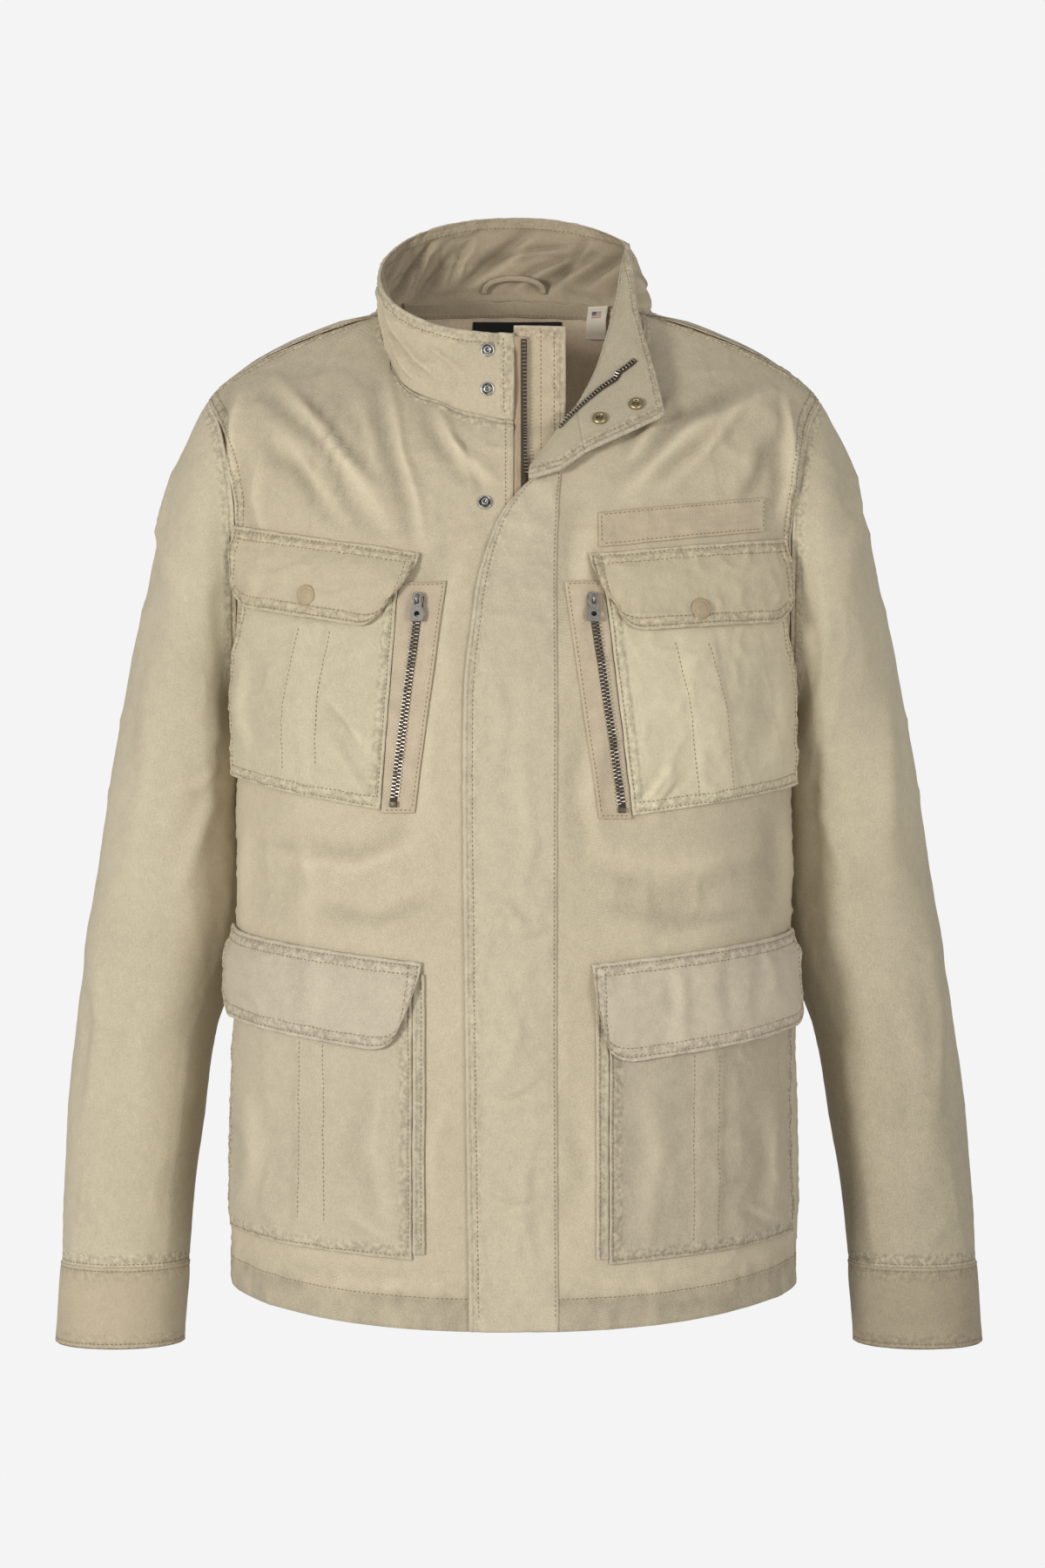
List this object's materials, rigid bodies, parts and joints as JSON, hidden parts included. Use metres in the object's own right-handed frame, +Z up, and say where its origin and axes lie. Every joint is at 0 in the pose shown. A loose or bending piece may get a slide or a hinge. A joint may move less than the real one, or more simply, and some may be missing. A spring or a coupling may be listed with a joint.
{
  "type": "field jacket",
  "caption": "Stand-collar field jacket in worn form, hollow, with storm placket, flap pockets, slanted chest zips and cuffed sleeves",
  "frame": {"origin": "inside of the neck at the centre back, on the collar seam, where the wearer holds it up", "axes": "+Z up along the body, +X to the wearer's left, -Y to the front"},
  "size_m": [0.6842, 0.2765, 0.8355],
  "materials": {
    "twill": "washed cotton twill",
    "tape": "herringbone tape",
    "brass": "antique",
    "steel": "antique nickel",
    "dark_label": "woven satin",
    "pale_label": "woven"
  },
  "bodies": {
    "jacket": {"front_right": "twill", "front_left": "twill", "back": "twill", "sleeve_left": "twill", "cuff_left": "twill", "sleeve_right": "twill", "cuff_right": "twill", "collar": "twill", "collar_turned_end": "twill", "placket_turned_top": "twill", "zip_left_edge": "brass", "storm_placket": "twill", "zip_tape_main": "tape", "zip_guard": "twill", "pocket_chest_right": "twill", "flap_chest_right": "twill", "zip_facing_right": "tape", "zip_chain_right": "brass", "zip_slider_right": "steel", "pocket_chest_left": "twill", "flap_chest_left": "twill", "zip_facing_left": "tape", "zip_chain_left": "brass", "zip_slider_left": "steel", "pocket_lower_right": "twill", "flap_lower_right": "twill", "gusset_lower_right": "twill", "pocket_lower_left": "twill", "flap_lower_left": "twill", "gusset_lower_left": "twill", "stud_top": "steel", "stud_middle": "steel", "stud_low": "steel", "socket_tip": "brass", "socket_inner": "brass", "snap_cap_right": "tape", "snap_cap_left": "tape", "name_tape": "tape", "neck_binding": "twill", "neck_label": "dark_label", "size_label": "pale_label", "hanger_loop": "twill"},
    "pull_left": {"pull_tab_left": "steel"},
    "pull_right": {"pull_tab_right": "steel"}
  },
  "joints": [
    {"name": "pull_tab_left_swing", "type": "hinge", "parent": "jacket", "child": "pull_left", "pos_m": [0.05615, -0.20407, -0.23552], "axis": [-0.9938, -0.1086, 0.0231], "range_deg": [0, 140]},
    {"name": "pull_tab_right_swing", "type": "hinge", "parent": "jacket", "child": "pull_right", "pos_m": [-0.06728, -0.20263, -0.23557], "axis": [-0.9899, 0.1391, -0.0287], "range_deg": [0, 140]}
  ]
}
